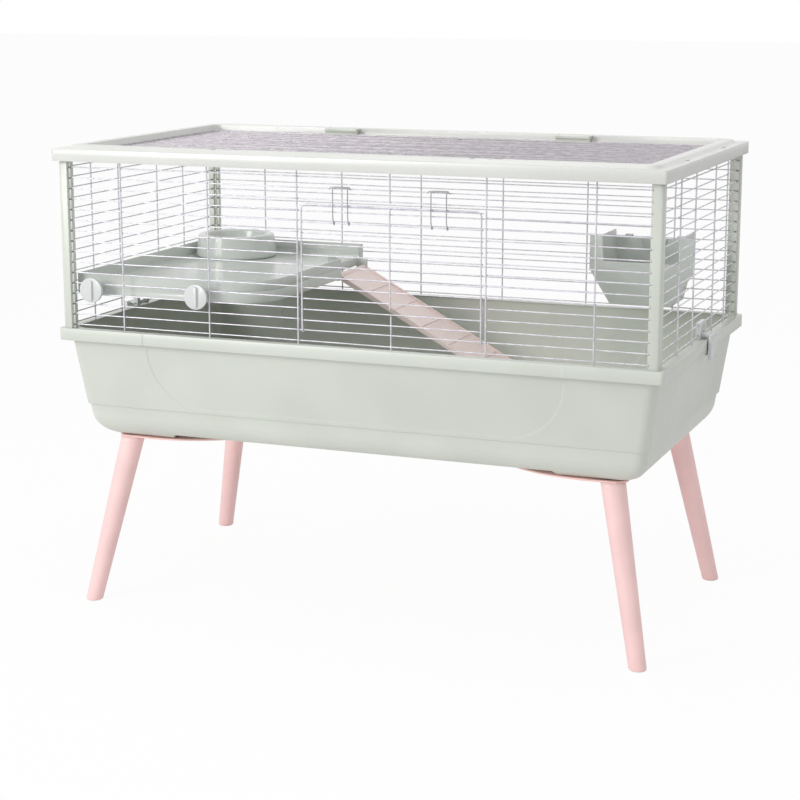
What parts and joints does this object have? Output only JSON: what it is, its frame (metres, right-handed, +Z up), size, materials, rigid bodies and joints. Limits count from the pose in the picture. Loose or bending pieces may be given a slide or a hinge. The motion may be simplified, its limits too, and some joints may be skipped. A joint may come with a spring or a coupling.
{
  "type": "guinea pig cage",
  "caption": "Raised small-animal cage: plastic tub on splayed legs, wire walls with hinged front door and roof lid, raised platform, ramp, bowl and hay rack.",
  "frame": {"origin": "on the floor, under the centre of the cage", "axes": "+X to the right along the long side, +Y to the back, +Z up"},
  "size_m": [1.014, 0.5542, 0.7555],
  "materials": {
    "sage_plastic": "satin moulded plastic",
    "sage_fitting": "glossy moulded plastic",
    "pale_clip": "satin moulded plastic",
    "pink_plastic": "matt moulded plastic",
    "pink_leg": "satin painted",
    "wire": "coated steel wire",
    "fastener": "zinc-plated steel"
  },
  "bodies": {
    "cage": {"tray": "sage_plastic", "leg_bracket_left": "pink_leg", "leg_bracket_right": "pink_leg", "leg_front_left": "pink_leg", "leg_front_right": "pink_leg", "leg_back_left": "pink_leg", "leg_back_right": "pink_leg", "leg_bolt_front_left": "fastener", "leg_bolt_front_right": "fastener", "leg_bolt_back_left": "fastener", "leg_bolt_back_right": "fastener", "bracket_screw_front_left": "fastener", "bracket_screw_front_right": "fastener", "bracket_screw_back_left": "fastener", "bracket_screw_back_right": "fastener", "post_front_left": "sage_plastic", "post_front_right": "sage_plastic", "post_back_left": "sage_plastic", "post_back_right": "sage_plastic", "roof_frame": "sage_plastic", "roof_hinge_left": "sage_plastic", "roof_hinge_right": "sage_plastic", "front_panel_left": "wire", "front_panel_right": "wire", "front_panel_top": "wire", "front_panel_bottom": "wire", "back_panel": "wire", "side_panel_left": "wire", "side_panel_right": "wire", "platform": "sage_fitting", "ramp_pin": "fastener", "clip_holder_left": "pale_clip", "clip_holder_right": "pale_clip"},
    "roof_lid": {"roof_lid": "wire"},
    "roof_tab_left": {"roof_tab_left": "sage_plastic"},
    "roof_tab_right": {"roof_tab_right": "sage_plastic"},
    "front_door": {"front_door": "wire"},
    "door_latch_left": {"door_latch_left": "wire"},
    "door_latch_right": {"door_latch_right": "wire"},
    "platform_knob_left": {"platform_knob_left": "sage_fitting"},
    "platform_knob_right": {"platform_knob_right": "sage_fitting"},
    "food_bowl": {"food_bowl": "sage_fitting"},
    "ramp": {"ramp": "pink_plastic"},
    "hay_rack": {"hay_rack": "sage_fitting"},
    "side_clip_left": {"side_clip_left": "pale_clip"},
    "side_clip_right": {"side_clip_right": "pale_clip"}
  },
  "joints": [
    {"name": "roof_lid_hinge", "type": "hinge", "parent": "cage", "child": "roof_lid", "pos_m": [0, 0.222, 0.745], "axis": [-1, 0, 0], "range_deg": [0, 110]},
    {"name": "roof_tab_left_turn", "type": "hinge", "parent": "roof_lid", "child": "roof_tab_left", "pos_m": [-0.212, -0.2304, 0.745], "axis": [-1, 0, 0], "range_deg": [0, 100]},
    {"name": "roof_tab_right_turn", "type": "hinge", "parent": "roof_lid", "child": "roof_tab_right", "pos_m": [0.212, -0.2304, 0.745], "axis": [-1, 0, 0], "range_deg": [0, 100]},
    {"name": "front_door_hinge", "type": "hinge", "parent": "cage", "child": "front_door", "pos_m": [0.073, -0.258, 0.4849], "axis": [1, 0, 0], "range_deg": [0, 135]},
    {"name": "door_latch_left_turn", "type": "hinge", "parent": "front_door", "child": "door_latch_left", "pos_m": [-0.00615, -0.25865, 0.6519], "axis": [1, 0, 0], "range_deg": [0, 100]},
    {"name": "door_latch_right_turn", "type": "hinge", "parent": "front_door", "child": "door_latch_right", "pos_m": [0.15215, -0.25865, 0.6519], "axis": [1, 0, 0], "range_deg": [0, 100]},
    {"name": "platform_knob_left_turn", "type": "hinge", "parent": "cage", "child": "platform_knob_left", "pos_m": [-0.4367, -0.25, 0.52702], "axis": [0, 1, 0], "range_deg": [0, 90]},
    {"name": "platform_knob_right_turn", "type": "hinge", "parent": "cage", "child": "platform_knob_right", "pos_m": [-0.2497, -0.25, 0.52702], "axis": [0, 1, 0], "range_deg": [0, 90]},
    {"name": "food_bowl_lift", "type": "slide", "parent": "cage", "child": "food_bowl", "axis": [0, 0, 1], "range_m": [0, 0.15]},
    {"name": "ramp_hinge", "type": "hinge", "parent": "cage", "child": "ramp", "pos_m": [-0.171, 0.161, 0.511], "axis": [0, -1, 0], "range_deg": [0, 20]},
    {"name": "hay_rack_lift", "type": "slide", "parent": "cage", "child": "hay_rack", "axis": [0, 0, 1], "range_m": [0, 0.01]},
    {"name": "side_clip_left_turn", "type": "hinge", "parent": "cage", "child": "side_clip_left", "pos_m": [-0.485, -0.0235, 0.46805], "axis": [0, 1, 0], "range_deg": [0, 50]},
    {"name": "side_clip_right_turn", "type": "hinge", "parent": "cage", "child": "side_clip_right", "pos_m": [0.485, 0.0235, 0.46805], "axis": [0, -1, 0], "range_deg": [0, 50]}
  ]
}
